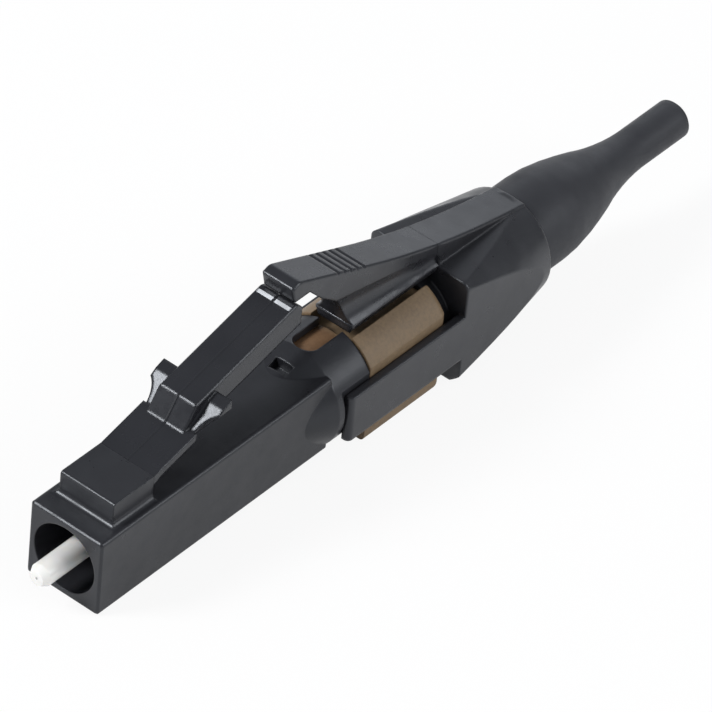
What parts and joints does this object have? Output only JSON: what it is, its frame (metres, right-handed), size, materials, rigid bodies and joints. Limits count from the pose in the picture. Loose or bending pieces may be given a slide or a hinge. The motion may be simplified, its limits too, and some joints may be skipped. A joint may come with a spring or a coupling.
{
  "type": "lc fibre connector",
  "caption": "Small square-bodied optical fibre plug with a ceramic ferrule, a top latch with a trigger, a keyed cam sleeve and a tapered boot.",
  "frame": {"origin": "on the fibre's axis, in the plane of the plug housing's front face", "axes": "+Y along the fibre from the ferrule to the boot, +Z towards the latch, +X to the right seen from the front"},
  "size_m": [0.0062, 0.0482, 0.0119],
  "materials": {
    "black_plastic": "satin moulded black",
    "zirconia": "polished white ceramic",
    "fibre_glass": "clear glass",
    "holder_plastic": "matte brown moulded",
    "tan_plastic": "fine matte tan moulded",
    "spring_steel": "drawn wire",
    "splice_plastic": "matte natural moulded",
    "tube_plastic": "natural moulded",
    "crimp_metal": "plain turned",
    "boot_rubber": "satin dark grey rubber"
  },
  "bodies": {
    "plug": {"plug_housing": "black_plastic", "spring_retainer": "black_plastic", "cam_sleeve": "tan_plastic", "trigger_collar": "black_plastic", "boot": "boot_rubber", "ferrule_spring": "spring_steel"},
    "latch": {"latch_arm": "black_plastic"},
    "trigger": {"trigger_arm": "black_plastic"},
    "ferrule_set": {"ferrule": "zirconia", "fibre_stub": "fibre_glass", "ferrule_holder": "holder_plastic", "splice_upper": "splice_plastic", "splice_lower": "splice_plastic", "lead_in_tube": "tube_plastic", "crimp_tube": "crimp_metal"}
  },
  "joints": [
    {"name": "trigger_press", "type": "hinge", "parent": "plug", "child": "trigger", "pos_m": [0, 0.02586, 0.0028], "axis": [1, 0, 0], "range_deg": [0, 6.5], "stiffness_Nm_per_rad": 0.005},
    {"name": "latch_press", "type": "hinge", "parent": "plug", "child": "latch", "pos_m": [0, 0.00421, 0.0031], "axis": [-1, 0, 0], "range_deg": [0, 6.6], "stiffness_Nm_per_rad": 0.005},
    {"name": "ferrule_float", "type": "slide", "parent": "plug", "child": "ferrule_set", "axis": [0, 1, 0], "range_m": [0, 0.0006], "stiffness_N_per_m": 1500, "springref_m": -0.003, "deforming": ["ferrule_spring"]}
  ],
  "couplings": [
    {"joint": "latch_press", "follows": "trigger_press", "ratio": 1}
  ]
}
